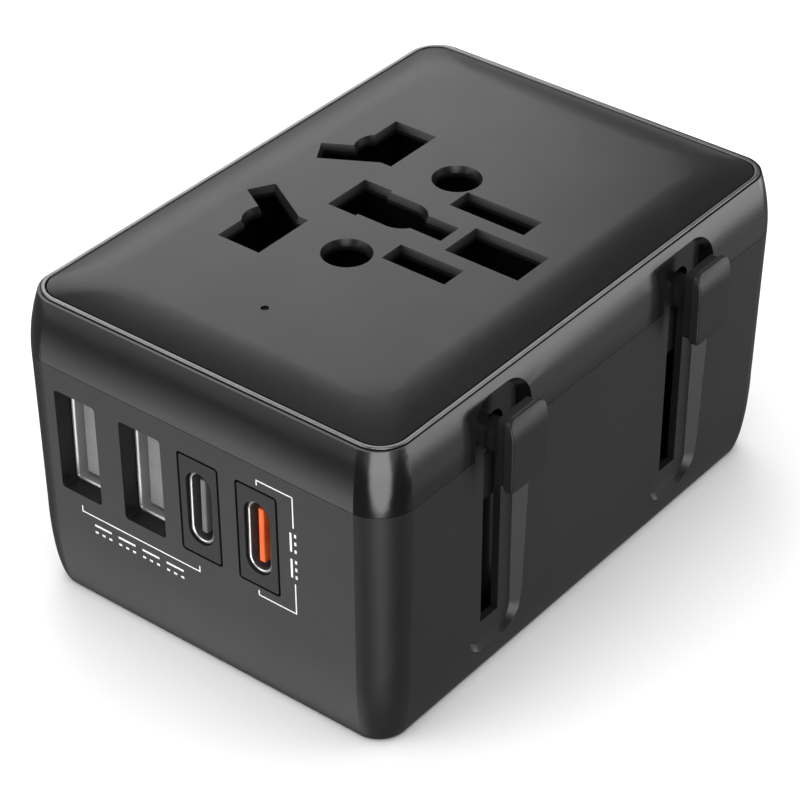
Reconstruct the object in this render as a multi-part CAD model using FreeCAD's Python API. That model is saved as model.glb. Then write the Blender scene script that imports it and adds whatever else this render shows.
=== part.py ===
"""Universal travel adapter: a housing with sockets on top, USB ports in front and three plug sliders.

Millimetres, +Z up, origin at the centre of the bottom face. -Y is the USB face, +X the face with two sliders.
"""

import FreeCAD, Part
import math
import os

V = FreeCAD.Vector
UP = V(0, 0, 1)

# Housing outside
HALF_X = 24.87            # half width at the seam
HALF_Y = 35.58            # half length at the seam
CORNER_SPAN = 4.15        # the vertical corner takes this much of each side at the seam
CORNER_SWEEP = 78.0       # less than 90 degrees, so a faint crease stands on each side of it
SEAM_Z = 30.2
SEAM_GAP = 0.06
BAND_TOP_Z = 37.28
BAND_ARC_R = 24.0         # the upper band bows in on this radius
DRAFT_TOP_TO_CURVE = 0.35
CURVE_H = 10.8            # the bottom edge curves in over this height
CURVE_IN = 1.7
CURVE_BEND = 0.98         # 1 would bring the curve's foot in horizontally
CURVE_STEPS = 12          # drawn as this many bands, closest together at the bottom
CURVE_CROWDING = 1.7
BAND_STEPS = 5
CORNER_SHRINK = 0.7       # how fast the corner shrinks as the sides come in
WALL_X = 22.6             # half width of the cavity
WALL_Y = 33.3
CAVITY_R = 2.9
FLOOR_Z = 1.9
SHELF_Z = 36.3            # the cover plate rests here
SHELF_T = 1.0
SHELF_W = 0.9
LIP_OUT = 0.6             # rebate of the upper housing for the lower one's lip
LIP_H = 1.2
LIP_ROOT = 1.0            # the lip starts this far below the seam
BOSS_GAP = 0.2            # between the screw bosses of the two parts
RIB_HALF = 0.6
RIB_Z0 = 32.2
BOSS_TOP_Z = 36.0
PILOT_Z0, PILOT_Z1 = 29.2, 35.1
FIT = 0.1

# Cover plate and trim ring
PLATE_X = 23.0
PLATE_Y = 33.45
PLATE_R = 2.9
PLATE_EDGE_Z = 37.45
CROWN_H = 0.9
CROWN_W = 5.5
CROWN_R_GROW = 1.9
CROWN_STEPS = 5
PLATE_WALL = 1.25
DISH_X, DISH_Y, DISH_R = 21.6, 32.0, 2.5
POCKET_FIT = 0.1
RING_IN = 0.17            # from the plate's edge
RING_W = 0.45
RING_Z0 = 36.9
RING_Z1 = 37.5
RING_GROOVE = 0.12
RING_EDGE_R = 0.1

# Socket openings, all symmetrical about the X axis
EU_X, EU_Y, EU_R = -1.07, 9.5, 2.7
EU2_X, EU2_R = -12.0, 2.6
UK_X0, UK_X1, UK_Y0, UK_Y1 = -13.86, -8.39, 7.14, 15.09
UK_EARTH_X0, UK_EARTH_X1, UK_EARTH_HALF = 6.70, 15.95, 2.65
AU_X, AU_Y, AU_LENGTH, AU_W, AU_TURN = -16.6, 4.94, 8.0, 3.1, 30.0
US_Y0, US_Y1 = 4.8, 7.9
US_WIDE_X = (1.63, 11.28)
US_NARROW_X = (2.44, 10.47)
MID_X0, MID_X1, MID_HALF = -8.7, -5.1, 3.1
MID_ROUND_X, MID_ROUND_R = -1.2, 2.7
MID_SLOT_X1, MID_SLOT_HALF = 5.1, 1.5
BEVEL_H = 0.8             # every opening narrows over this height
BEVEL_OUT, BEVEL_IN = 0.10, 0.17   # from wider than the outlines above to narrower below them
LED_X, LED_Y, LED_R = -1.07, -22.7, 0.45

# Socket block and contacts under the plate
BLOCK_X0, BLOCK_X1, BLOCK_Y = -19.2, 17.2, 16.2
BLOCK_Z0, BLOCK_Z1 = 26.5, 36.9
WELL_GROW = 0.35
STRIP_T = 0.5

# Contacts: strips as (x0, x1, y0, y1) and leaves as (x0, x1, y0, y1, top z), for the pole at +Y
CONTACT_GAP = 0.02
POLE_STRIPS = ((-17.6, 10.6, 8.6, 12.6), (8.0, 10.6, 5.0, 9.0), (-16.6, -8.2, 11.6, 14.9))
POLE_LEAVES = ((-11.9, -9.4, 14.5, 14.9, 33.5), (-1.7, -0.45, 12.2, 12.4, 32.5),
               (8.2, 10.4, 7.3, 7.8, 33.0))
EARTH_STRIPS = ((-8.2, 15.6, -2.3, 2.3), (-8.4, -5.6, 2.0, 2.9))
EARTH_LEAVES = ((-8.4, -5.6, 2.5, 2.9, 33.0), (15.2, 15.6, -1.8, 1.8, 33.5))

# Sliders
SLIDER_Y = 16.65          # the two sliders of the +X face stand at -Y and +Y of this
EU_SLIDER_Y = -6.5
RECESS_FLOOR_X = 23.5
RECESS_HALF = 3.6
RECESS_Z0, RECESS_Z1 = 3.9, 35.7
RECESS_R = 2.4
RECESS_RISE, RECESS_FLARE = 1.8, 1.6   # its walls slant outwards this much over this height
SLOT_HALF, SLOT_Z0, SLOT_Z1 = 1.5, 6.7, 33.1
PAD_HALF, PAD_H, PAD_R = 3.0, 9.0, 1.0
PAD_X0, PAD_X1 = 27.05, 28.1
PAD_Z0, EU_PAD_Z0 = 26.0, 23.4
PAD_HEAD_H, PAD_HEAD_DROP = 2.6, 0.65  # the face bows back towards its top
PAD_FOOT_H, PAD_FOOT_DROP = 1.2, 0.28  # and towards its foot
PAD_EDGE_R = 0.2
NECK_X0, NECK_INSET, NECK_R = 25.95, 0.3, 0.8
STEM_HALF, STEM_Z0, STEM_Z1 = 1.2, 28.3, 32.3
FLANGE_HALF, FLANGE_X0, FLANGE_X1, FLANGE_Z0, FLANGE_Z1 = 1.85, 21.5, 22.25, 27.0, 33.6
FLANGE_R = 1.5
FLAT_END = 0.02           # keeps a round end from closing to nothing
ARM_X0, ARM_X1, ARM_HALF, ARM_Z1 = 19.9, 22.3, 2.45, 34.3
ARM_POCKET_X = 20.6
ARM_OVERLAP = 0.5
SPRING_R, SPRING_WIRE, SPRING_TURNS = 0.75, 0.2, 5
SPRING_SEAT_X = 23.6
SPRING_PLAY = 0.2
SPRING_BORE_FIT = 0.05
LINK_HALF = 2.4
PLATE_Z0, PLATE_Z1 = 21.2, 25.3

# Plugs
US_BLADE_X, US_BLADE_T, US_BLADE_W = 6.35, 1.5, 6.3
BLADE_TIP = 0.45
SWIVEL_R, SWIVEL_FIT, SWIVEL_HEAD_R, SWIVEL_HEAD_H = 3.7, 0.05, 4.05, 0.75
UK_PIN_X, UK_PIN_Y, UK_PIN_W, UK_PIN_T = 11.1, 5.55, 6.35, 4.0
UK_EARTH_Y, UK_EARTH_W, UK_EARTH_T = 27.75, 4.0, 8.0
EU_PIN_X, EU_PIN_R = 9.5, 2.0
PIN_CLEAR = 0.35          # around each pin in the floor
PIN_TIP_Z = 0.5
PIN_TIP = 0.9
PIN_HEAD_H, PIN_HEAD_OUT, EU_HEAD_OUT = 1.0, 0.3, 0.5
PIN_TOP_Z = 25.2          # the pins' heads end just under the carriage's top
US_CARRIAGE_X, US_CARRIAGE_HALF = 11.4, 4.25
UK_CARRIAGE_X, UK_BAR_HALF, UK_SPINE_HALF, UK_SPINE_Y1 = 15.2, 2.75, 2.7, 32.35
EU_CARRIAGE_X, EU_BAR_HALF = 12.4, 3.1

# USB face
USB_Z = 21.0
USB_A_X = (-16.5, -7.45)
USB_C_X = (0.45, 8.2)
USB_A_W, USB_A_H, USB_A_R = 5.7, 12.7, 0.4
USB_A_SHELL_W, USB_A_SHELL_H, USB_A_SHELL_R, USB_A_SHELL_T = 5.9, 13.1, 0.5, 0.32
USB_A_SHELL_Y = -33.05
USB_A_LIP, USB_C_LIP = 0.14, 0.13      # bevel inside the shells' mouths
USB_A_TONGUE_X, USB_A_TONGUE_W, USB_A_TONGUE_H = -0.85, 1.85, 11.0
USB_A_TONGUE_BACK = 0.6   # behind the shell's mouth
USB_A_BASE_L = 1.5
USB_A_CONTACT_Z = (-3.5, -1.15, 1.15, 3.5)
USB_A_CONTACT_HALF, USB_A_CONTACT_T, USB_A_CONTACT_BACK = 0.5, 0.15, 1.4
USB_C_PLATE_W, USB_C_PLATE_H, USB_C_PLATE_R, USB_C_GAP = 5.0, 12.2, 0.2, 0.28
USB_C_SHELL_W, USB_C_SHELL_H, USB_C_SHELL_T = 3.16, 8.94, 0.3
USB_C_SHELL_Y = -35.08
USB_C_MOUTH_FIT, USB_C_MOUTH_DEPTH = 0.12, 5.0
USB_C_TONGUE_W, USB_C_TONGUE_H, USB_C_TONGUE_R, USB_C_TONGUE_BACK = 0.7, 6.7, 0.15, 0.25
USB_C_BASE_HALF, USB_C_BASE_L = 1.2, 3.0
TONGUE_GAP = 0.05         # between a tongue's base and the back of its shell
PART_GAP = 0.02           # between a part and the board it sits on
USB_BOARD_X0, USB_BOARD_X1, USB_BOARD_Z0, USB_BOARD_Z1 = -21.0, 14.0, 4.0, 29.4
USB_BOARD_Y0, USB_BOARD_Y1 = -22.4, -21.3
CHIP_X, CHIP_Z, CHIP_HALF, CHIP_H = (-12.0, 4.3), 9.5, 2.4, 1.08
COIL_X, COIL_Z, COIL_HALF, COIL_H, COIL_R = -4.0, 9.5, 2.1, 2.78, 0.5
STATUS_LED_Z0, STATUS_LED_Z1, STATUS_LED_R = 30.2, 32.4, 0.9
STATUS_RIM_H, STATUS_RIM_R = 0.5, 1.1
PIPE_Z0, PIPE_FOOT_H, PIPE_FOOT_R, PIPE_SET_BACK, PIPE_FIT = 32.5, 1.0, 1.1, 0.25, 0.05
PORT_WALL_Y = -33.1       # inner face of the thicker wall round the ports

# Screws
SCREWS = ((-19.6, -18.7), (19.8, -11.2), (-19.9, 30.2), (19.8, 30.2))
BOSS_R, SCREW_R, SCREW_HEAD_R = 2.1, 0.95, 1.75
SCREW_SEAT_Z, SCREW_TOP_Z = 8.0, 33.8
SCREW_HEAD_H, SCREW_THREAD_FIT = 1.4, 0.02
CROSS_HALF_L, CROSS_HALF_W, CROSS_DEPTH = 1.1, 0.22, 0.8

# Power board
BOARD_X0, BOARD_X1, BOARD_Y0, BOARD_Y1 = -21.6, -3.7, 9.4, 32.4
BOARD_Z0, BOARD_Z1 = 3.4, 4.6
BOARD_NOTCH = 0.3         # round the screw boss
CORE_X, CORE_Y, CORE_Z = (-16.6, -5.2), (19.4, 31.6), (3.0, 8.0)
COIL_BLOCK_X, COIL_BLOCK_Y, COIL_BLOCK_H, COIL_BLOCK_R = (-15.4, -6.4), (17.8, 32.2), 12.0, 0.8
CAN_X, CAN_Y, CAN_R, CAN_H = -8.9, 13.4, 3.6, 15.5
CAN_GROOVE_R, CAN_GROOVE_Z0, CAN_GROOVE_Z1 = 3.35, 1.4, 2.0
SAFETY_X, SAFETY_Y, SAFETY_H, SAFETY_R = (-20.6, -14.6), (10.2, 15.6), 9.0, 0.5

# Mains fuse beside the board
FUSE_X, FUSE_Y, FUSE_R, FUSE_CAP_R = 12.5, 27.2, 2.2, 2.5
FUSE_CAPS_Z = ((3.0, 7.4), (18.6, 23.0))
CLIP_Z, CLIP_H, CLIP_HALF, CLIP_FIT = (3.4, 19.0), 3.6, 2.9, 0.02
CLIP_MOUTH_HALF, CLIP_MOUTH_Y0, CLIP_MOUTH_Y1 = 1.1, 20.0, 27.0

NEAR = 0.01               # tolerance when picking edges by their place

os.makedirs("parts", exist_ok=True)


# ---------------------------------------------------------------- basic shapes
def box(x0, x1, y0, y1, z0, z1):
    return Part.makeBox(x1 - x0, y1 - y0, z1 - z0, V(x0, y0, z0))


def post(x, y, z0, z1, r):
    return Part.makeCylinder(r, z1 - z0, V(x, y, z0), UP)


def rod(start, end, r):
    line = V(*end) - V(*start)
    return Part.makeCylinder(r, line.Length, V(*start), line)


def rounded_wire(half_x, half_y, r, z):
    """A rounded rectangle in a plane of constant z, always starting at the same corner."""
    corners = ((1, 1, 0), (-1, 1, 90), (-1, -1, 180), (1, -1, 270))
    arcs = [Part.ArcOfCircle(Part.Circle(V(sx * (half_x - r), sy * (half_y - r), z), UP, r),
                             math.radians(turn), math.radians(turn + 90)) for sx, sy, turn in corners]
    edges = []
    for arc, following in zip(arcs, arcs[1:] + arcs[:1]):
        edges.append(arc.toShape())
        edges.append(Part.LineSegment(arc.EndPoint, following.StartPoint).toShape())
    return Part.Wire(edges)


def body_wire(half_x, half_y, span, z):
    """The housing's outline in a plane of constant z: the corner arcs meet the sides in a faint crease."""
    half_sweep = math.radians(CORNER_SWEEP / 2)
    r = span / math.sqrt(2) / math.sin(half_sweep)
    bow = (span / 2 + r * (1 - math.cos(half_sweep)) / math.sqrt(2))
    arcs = []
    for sx, sy in ((1, 1), (-1, 1), (-1, -1), (1, -1)):
        on_side = V(sx * half_x, sy * (half_y - span), z)
        middle = V(sx * (half_x - span + bow), sy * (half_y - span + bow), z)
        on_end = V(sx * (half_x - span), sy * half_y, z)
        first, last = (on_side, on_end) if sx == sy else (on_end, on_side)
        arcs.append(Part.Arc(first, middle, last).toShape())
    edges = []
    for arc, following in zip(arcs, arcs[1:] + arcs[:1]):
        edges.append(arc)
        edges.append(Part.LineSegment(arc.lastVertex().Point, following.firstVertex().Point).toShape())
    return Part.Wire(edges)


def rounded_block(half_x, half_y, r, z0, z1):
    return Part.Face(rounded_wire(half_x, half_y, r, z0)).extrude(V(0, 0, z1 - z0))


def loft(sections):
    """A smooth solid through (half_x, half_y, r, z) sections."""
    return Part.makeLoft([rounded_wire(*s) for s in sections], True, False)


def facing_x(block, x, y, z):
    """Turns a block built along Z so that its height runs along +X, its Y stays, and places it."""
    block.rotate(V(0, 0, 0), V(0, 1, 0), 90)
    block.translate(V(x, y, z))
    return block


def facing_front(block, x, y, z):
    """Turns a block built along Z so that its height runs along +Y, its X stays, and places it."""
    block.rotate(V(0, 0, 0), V(1, 0, 0), -90)
    block.translate(V(x, y, z))
    return block


def fuse(shapes):
    return shapes[0].multiFuse(shapes[1:]).removeSplitter() if len(shapes) > 1 else shapes[0]


def cut(shape, tools):
    return shape.cut(tools)


def round_edges(shape, r, wanted):
    return shape.makeFillet(r, [e for e in shape.Edges if wanted(e)])


def save(name, *solids):
    shape = solids[0] if len(solids) == 1 else Part.makeCompound(list(solids))
    shape.exportStep(f"parts/{name}.step")


def mirrored_y(shape):
    return shape.mirror(V(0, 0, 0), V(0, 1, 0))


# ---------------------------------------------------------------- outside form
def inset(z):
    """How far the side stands in from its widest line, at the seam."""
    if z >= SEAM_Z:
        return (z - SEAM_Z) ** 2 / (2 * BAND_ARC_R)
    if z >= CURVE_H:
        return DRAFT_TOP_TO_CURVE * (SEAM_Z - z) / (SEAM_Z - CURVE_H)
    t = (CURVE_H - z) / CURVE_H
    return DRAFT_TOP_TO_CURVE + CURVE_IN * (1 - math.sqrt(1 - CURVE_BEND * t * t))


def outline_at(z):
    i = inset(z)
    return body_wire(HALF_X - i, HALF_Y - i, CORNER_SPAN - CORNER_SHRINK * i, z)


def lower_outside():
    heights = [CURVE_H * (k / CURVE_STEPS) ** CURVE_CROWDING for k in range(CURVE_STEPS + 1)]
    return Part.makeLoft([outline_at(z) for z in heights + [SEAM_Z]], True, True)


def upper_outside():
    z0 = SEAM_Z + SEAM_GAP
    heights = [z0 + (BAND_TOP_Z - z0) * k / BAND_STEPS for k in range(BAND_STEPS + 1)]
    return Part.makeLoft([outline_at(z) for z in heights], True, False)


# ---------------------------------------------------------------- cover plate and its openings
def rectangle(x0, x1, y0, y1):
    """An outline is a function of its height and of how far it is grown outwards."""
    def outline(z, g):
        corners = ((x0 - g, y0 - g), (x1 + g, y0 - g), (x1 + g, y1 + g), (x0 - g, y1 + g), (x0 - g, y0 - g))
        return Part.makePolygon([V(x, y, z) for x, y in corners])
    return outline


def circle(x, y, r):
    return lambda z, g: Part.Wire(Part.Circle(V(x, y, z), UP, r + g).toShape())


def slanted_slot(x, y, length, width, turn):
    """A slot that runs inwards from its outer end at x, y, turned towards the middle by this many degrees."""
    def outline(z, g):
        plain = rectangle(0, length, -width / 2, width / 2)(z, g)
        plain.rotate(V(0, 0, 0), UP, turn)
        return plain.translated(V(x, y, 0))
    return outline


def outlines():
    """Every socket opening. Those of the two poles each merge a wide blade, a slanted blade and a pin."""
    found = [circle(MID_ROUND_X, 0, MID_ROUND_R),
             rectangle(MID_X0, MID_X1, -MID_HALF, MID_HALF),
             rectangle(MID_X0, MID_ROUND_X, -MID_ROUND_R, MID_ROUND_R),
             rectangle(MID_ROUND_X, MID_SLOT_X1, -MID_SLOT_HALF, MID_SLOT_HALF),
             rectangle(*US_WIDE_X, US_Y0, US_Y1),
             rectangle(*US_NARROW_X, -US_Y1, -US_Y0),
             rectangle(UK_EARTH_X0, UK_EARTH_X1, -UK_EARTH_HALF, UK_EARTH_HALF)]
    for side in (-1, 1):
        found += [circle(EU_X, side * EU_Y, EU_R),
                  circle(EU2_X, side * EU_Y, EU2_R),
                  rectangle(UK_X0, UK_X1, min(side * UK_Y0, side * UK_Y1), max(side * UK_Y0, side * UK_Y1)),
                  slanted_slot(AU_X, side * AU_Y, AU_LENGTH, AU_W, side * AU_TURN)]
    return found


def openings(z0, z1, g=0.0):
    """The openings as vertical prisms, grown sideways by g."""
    return [Part.Face(outline(z0, g)).extrude(V(0, 0, z1 - z0)) for outline in outlines()]


def opening_bevels(top):
    """The slanted wall of every opening in a face at this height."""
    lean = (BEVEL_OUT + BEVEL_IN) / BEVEL_H
    above = 0.3
    return [Part.makeLoft([outline(top - BEVEL_H, -BEVEL_IN), outline(top + above, BEVEL_OUT + lean * above)],
                          True, True) for outline in outlines()]


def cover_plate():
    top = PLATE_EDGE_Z + CROWN_H
    steps = [k / CROWN_STEPS for k in range(CROWN_STEPS + 1)]
    crown = loft([(PLATE_X - CROWN_W * t, PLATE_Y - CROWN_W * t, PLATE_R + CROWN_R_GROW * t,
                   PLATE_EDGE_Z + CROWN_H * (1 - (1 - t) ** 2)) for t in steps])
    edge = rounded_block(PLATE_X, PLATE_Y, PLATE_R, SHELF_Z, PLATE_EDGE_Z)
    dish = rounded_block(DISH_X, DISH_Y, DISH_R, SHELF_Z - 1, top - PLATE_WALL)
    led_hole = post(LED_X, LED_Y, SHELF_Z, top + 1, LED_R)
    through = openings(SHELF_Z, top + 1, -BEVEL_IN)
    return cut(edge.fuse(crown), [dish, led_hole] + through + opening_bevels(top))


def trim_ring():
    grow_in, grow_out = RING_IN, RING_IN + RING_W
    outer = rounded_block(PLATE_X + grow_out, PLATE_Y + grow_out, PLATE_R + grow_out, RING_Z0, RING_Z1)
    inner = rounded_block(PLATE_X + grow_in, PLATE_Y + grow_in, PLATE_R + grow_in, RING_Z0, RING_Z1)
    return round_edges(outer.cut(inner), RING_EDGE_R, lambda e: e.BoundBox.ZMin > RING_Z1 - NEAR)


# ---------------------------------------------------------------- housings
def slider_recess():
    """The finger channel of one slider at Y = 0 on the +X face: a flat floor and flat slanted walls."""
    half_z = (RECESS_Z1 - RECESS_Z0) / 2
    floor = rounded_wire(half_z, RECESS_HALF, RECESS_R, 0)
    rim = rounded_wire(half_z + RECESS_FLARE, RECESS_HALF + RECESS_FLARE, RECESS_R + RECESS_FLARE,
                       RECESS_RISE)
    tool = Part.makeLoft([floor, rim], True, True)
    return facing_x(tool, RECESS_FLOOR_X, 0, (RECESS_Z1 + RECESS_Z0) / 2)


def slider_slot():
    """The long slot in the channel's floor, square below and round at the top."""
    top = SLOT_Z1 - SLOT_HALF
    inside, outside = WALL_X - 1, HALF_X + 1
    straight = box(inside, outside, -SLOT_HALF, SLOT_HALF, SLOT_Z0, top)
    return straight.fuse(rod((inside, 0, top), (outside, 0, top), SLOT_HALF))


def slider_cuts():
    """The channels and slots of all three sliders."""
    tools = []
    for tool in (slider_recess(), slider_slot()):
        for y in (-SLIDER_Y, SLIDER_Y):
            tools.append(tool.translated(V(0, y, 0)))
        hidden = tool.copy()
        hidden.rotate(V(0, 0, 0), UP, 180)
        tools.append(hidden.translated(V(0, EU_SLIDER_Y, 0)))
    return tools


def floor_windows():
    """Openings in the bottom for every pin, with a little clearance."""
    z0, z1, c = -1, FLOOR_Z + 1, PIN_CLEAR
    round_blades = [post(s * US_BLADE_X, -SLIDER_Y, z0, z1, SWIVEL_R) for s in (-1, 1)]
    eu = [post(s * EU_PIN_X, EU_SLIDER_Y, z0, z1, EU_PIN_R + c) for s in (-1, 1)]
    half_w, half_t = UK_PIN_W / 2 + c, UK_PIN_T / 2 + c
    uk = [box(s * UK_PIN_X - half_w, s * UK_PIN_X + half_w, UK_PIN_Y - half_t, UK_PIN_Y + half_t, z0, z1)
          for s in (-1, 1)]
    half_w, half_t = UK_EARTH_W / 2 + c, UK_EARTH_T / 2 + c
    earth = box(-half_w, half_w, UK_EARTH_Y - half_t, UK_EARTH_Y + half_t, z0, z1)
    return round_blades + eu + uk + [earth]


def port_cuts():
    """Openings of the USB ports through the front wall."""
    y0, depth = -HALF_Y - 1, HALF_Y + 1 + PORT_WALL_Y + 0.5
    tools = [facing_front(rounded_block(USB_A_W / 2, USB_A_H / 2, USB_A_R, 0, depth), x, y0, USB_Z)
             for x in USB_A_X]
    half_w, half_h = USB_C_PLATE_W / 2 + USB_C_GAP, USB_C_PLATE_H / 2 + USB_C_GAP
    corner_r = USB_C_PLATE_R + USB_C_GAP
    tools += [facing_front(rounded_block(half_w, half_h, corner_r, 0, depth), x, y0, USB_Z) for x in USB_C_X]
    return tools


def screw_bosses(z0, z1):
    return [post(x, y, z0, z1, BOSS_R) for x, y in SCREWS]


def lower_housing():
    outside = lower_outside()
    cavity = rounded_block(WALL_X, WALL_Y, CAVITY_R, FLOOR_Z, SEAM_Z + 1)
    lip_half = LIP_OUT - FIT
    lip = rounded_block(WALL_X + lip_half, WALL_Y + lip_half, CAVITY_R + lip_half,
                        SEAM_Z - LIP_ROOT, SEAM_Z + LIP_H)
    lip = lip.cut(rounded_block(WALL_X, WALL_Y, CAVITY_R, SEAM_Z - 2, SEAM_Z + 2))
    shell = fuse([outside.cut(cavity), lip] + screw_bosses(FLOOR_Z - 0.5, SEAM_Z - BOSS_GAP))
    holes = [post(x, y, -1, SEAM_Z + 1, SCREW_R + FIT) for x, y in SCREWS]
    holes += [post(x, y, -1, SCREW_SEAT_Z, SCREW_HEAD_R + FIT) for x, y in SCREWS]
    return cut(shell, slider_cuts() + floor_windows() + port_cuts() + holes)


def screw_rib(x, y):
    """Ties the upper boss of one screw to the side wall next to it."""
    wall_x = math.copysign(WALL_X + 0.2, x)
    return box(min(x, wall_x), max(x, wall_x), y - RIB_HALF, y + RIB_HALF, RIB_Z0, BOSS_TOP_Z)


def upper_housing():
    outside = upper_outside()
    z0 = SEAM_Z - 1
    cavity = rounded_block(WALL_X, WALL_Y, CAVITY_R, z0, SHELF_Z - SHELF_T)
    throat = rounded_block(WALL_X - SHELF_W, WALL_Y - SHELF_W, CAVITY_R - 0.7, z0, BAND_TOP_Z + 1)
    seat = PLATE_X + POCKET_FIT, PLATE_Y + POCKET_FIT, PLATE_R + POCKET_FIT
    pocket = rounded_block(*seat, SHELF_Z, BAND_TOP_Z + 1)
    out = RING_IN + RING_W + RING_GROOVE
    ring_seat = rounded_block(PLATE_X + out, PLATE_Y + out, PLATE_R + out, RING_Z0, BAND_TOP_Z + 1)
    rebate = rounded_block(WALL_X + LIP_OUT, WALL_Y + LIP_OUT, CAVITY_R + LIP_OUT, z0, SEAM_Z + LIP_H + FIT)
    shell = cut(outside, [cavity, throat, pocket, ring_seat, rebate])
    ribs = [screw_rib(x, y) for x, y in SCREWS]
    bosses = screw_bosses(SEAM_Z, BOSS_TOP_Z)
    pilots = [post(x, y, PILOT_Z0, PILOT_Z1, SCREW_R) for x, y in SCREWS]
    return cut(fuse([shell] + ribs + bosses), slider_cuts() + pilots)


def case_screw(x, y):
    z0 = SCREW_SEAT_Z - SCREW_HEAD_H
    head = post(x, y, z0, SCREW_SEAT_Z, SCREW_HEAD_R)
    shank = post(x, y, SCREW_SEAT_Z, SCREW_TOP_Z, SCREW_R - SCREW_THREAD_FIT)
    cross = [box(x - half_x, x + half_x, y - half_y, y + half_y, z0 - 1, z0 + CROSS_DEPTH)
             for half_x, half_y in ((CROSS_HALF_L, CROSS_HALF_W), (CROSS_HALF_W, CROSS_HALF_L))]
    return cut(head.fuse(shank), cross)


# ---------------------------------------------------------------- sockets inside
def socket_block():
    body = box(BLOCK_X0, BLOCK_X1, -BLOCK_Y, BLOCK_Y, BLOCK_Z0, BLOCK_Z1)
    return cut(body, openings(BLOCK_Z0 - 1, BLOCK_Z1 + 1, WELL_GROW))


def contact(strips, leaves):
    """Flat brass strips just under the block, with spring leaves that stand up along its wells."""
    z1 = BLOCK_Z0 - CONTACT_GAP
    z0 = z1 - STRIP_T
    flat = [box(*strip, z0, z1) for strip in strips]
    upright = [box(*outline, z0, top) for *outline, top in leaves]
    return fuse(flat + upright)


# ---------------------------------------------------------------- sliders
def bowed_end(z, rise, drop):
    """The part of the pad's profile that leaves its flat middle at z and falls back by drop over rise."""
    r = (rise ** 2 + drop ** 2) / (2 * drop)
    half_turn = math.asin(abs(rise) / r) / 2
    middle = V(PAD_X1 - r * (1 - math.cos(half_turn)), 0, z + math.copysign(r * math.sin(half_turn), rise))
    return Part.Arc(V(PAD_X1, 0, z), middle, V(PAD_X1 - drop, 0, z + rise)).toShape()


def pad(z0):
    """The finger pad: a bowed cap on a smaller neck. Y = 0, on the +X side."""
    z1, middle = z0 + PAD_H, z0 + PAD_H / 2
    head_z, foot_z = z1 - PAD_HEAD_H, z0 + PAD_FOOT_H
    corners = [V(PAD_X1, 0, foot_z), V(PAD_X1, 0, head_z), V(PAD_X1 - PAD_HEAD_DROP, 0, z1), V(PAD_X0, 0, z1),
               V(PAD_X0, 0, z0), V(PAD_X1 - PAD_FOOT_DROP, 0, z0)]
    flats = [Part.LineSegment(corners[k], corners[k + 1]).toShape() for k in (0, 2, 3, 4)]
    ends = [bowed_end(head_z, PAD_HEAD_H, PAD_HEAD_DROP), bowed_end(foot_z, -PAD_FOOT_H, PAD_FOOT_DROP)]
    side = Part.Face(Part.Wire(Part.__sortEdges__(flats + ends)))
    side.translate(V(0, -2 * PAD_HALF, 0))
    cap = facing_x(rounded_block(PAD_H / 2, PAD_HALF, PAD_R, 0, PAD_X1 + 1 - PAD_X0), PAD_X0, 0, middle)
    cap = cap.common(side.extrude(V(0, 4 * PAD_HALF, 0)))
    joins = (head_z, foot_z)
    cap = round_edges(cap, PAD_EDGE_R, lambda e: e.BoundBox.XMin > PAD_X0 + NEAR
                      and not any(abs(e.CenterOfMass.z - z) < NEAR and e.BoundBox.ZLength < NEAR for z in joins))
    neck_half = PAD_H / 2 - NECK_INSET
    neck = rounded_block(neck_half, PAD_HALF - NECK_INSET, NECK_R, 0, PAD_X0 - NECK_X0)
    return cap.fuse(facing_x(neck, NECK_X0, 0, middle))


def button(pad_z0):
    """The finger pad with its stem and the flange that the housing wall holds in. Y = 0, on the +X side."""
    stem_mid, stem_half = (STEM_Z0 + STEM_Z1) / 2, (STEM_Z1 - STEM_Z0) / 2
    stem = rounded_block(stem_half, STEM_HALF, STEM_HALF - FLAT_END, 0, NECK_X0 - FLANGE_X0)
    flange_mid, flange_half = (FLANGE_Z0 + FLANGE_Z1) / 2, (FLANGE_Z1 - FLANGE_Z0) / 2
    flange = rounded_block(flange_half, FLANGE_HALF, FLANGE_R, 0, FLANGE_X1 - FLANGE_X0)
    bore_r = SPRING_R + SPRING_WIRE + SPRING_BORE_FIT
    bore = rod((FLANGE_X0 - 1, 0, stem_mid), (SPRING_SEAT_X, 0, stem_mid), bore_r)
    stem = facing_x(stem, FLANGE_X0, 0, stem_mid)
    flange = facing_x(flange, FLANGE_X0, 0, flange_mid)
    return fuse([pad(pad_z0), stem, flange]).cut(bore)


def button_spring():
    """A helical spring with a six-sided wire, between the arm's pocket and the stem's bore."""
    length = SPRING_SEAT_X - ARM_POCKET_X - 2 * SPRING_PLAY - SPRING_WIRE / 2
    helix = Part.makeHelix(length / SPRING_TURNS, length, SPRING_R)
    wire_r = SPRING_WIRE / 2
    turns = [math.radians(60 * k) for k in range(7)]
    points = [V(SPRING_R + wire_r * math.cos(turn), 0, wire_r * math.sin(turn)) for turn in turns]
    coil = Part.Wire(helix.Edges).makePipeShell([Part.makePolygon(points)], True, True)
    return facing_x(coil, ARM_POCKET_X + SPRING_PLAY, 0, (STEM_Z0 + STEM_Z1) / 2)


def slider_arm():
    """The upright arm of a carriage, with the pocket that holds the button's flange and spring."""
    arm = box(ARM_X0, ARM_X1, -ARM_HALF, ARM_HALF, PLATE_Z0, ARM_Z1)
    half_z = (FLANGE_Z1 - FLANGE_Z0) / 2 + FIT
    pocket = rounded_block(half_z, FLANGE_HALF + FIT, FLANGE_R, 0, ARM_X1 + 1 - ARM_POCKET_X)
    return arm.cut(facing_x(pocket, ARM_POCKET_X, 0, (FLANGE_Z0 + FLANGE_Z1) / 2))


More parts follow.
